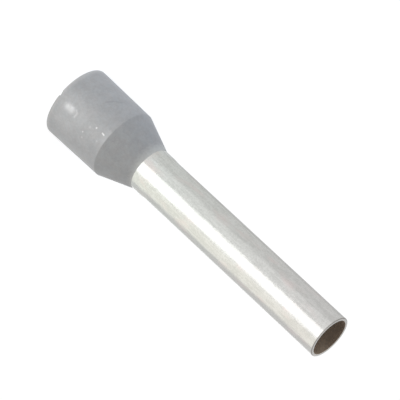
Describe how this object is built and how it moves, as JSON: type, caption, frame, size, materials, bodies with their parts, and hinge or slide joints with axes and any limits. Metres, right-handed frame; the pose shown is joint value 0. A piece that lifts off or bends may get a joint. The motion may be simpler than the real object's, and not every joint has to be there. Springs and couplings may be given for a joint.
{
  "type": "wire ferrule",
  "caption": "Insulated wire-end ferrule: a thin tinned tube with a belled end held in a tapered grey plastic collar that guides the strands in.",
  "frame": {"origin": "centre of the collar's mouth, on the plane of its rim", "axes": "+Z along the barrel, towards its open end; -Y is the side with the small nick in the rim"},
  "size_m": [0.0056, 0.0056, 0.0256],
  "materials": {
    "collar_plastic": "grey polypropylene moulding, satin, slightly mottled",
    "tinned_copper": "bright tin plate on copper tube, fine drawn lines along the tube"
  },
  "bodies": {
    "root": {"collar": "collar_plastic", "barrel": "tinned_copper"}
  },
  "joints": []
}
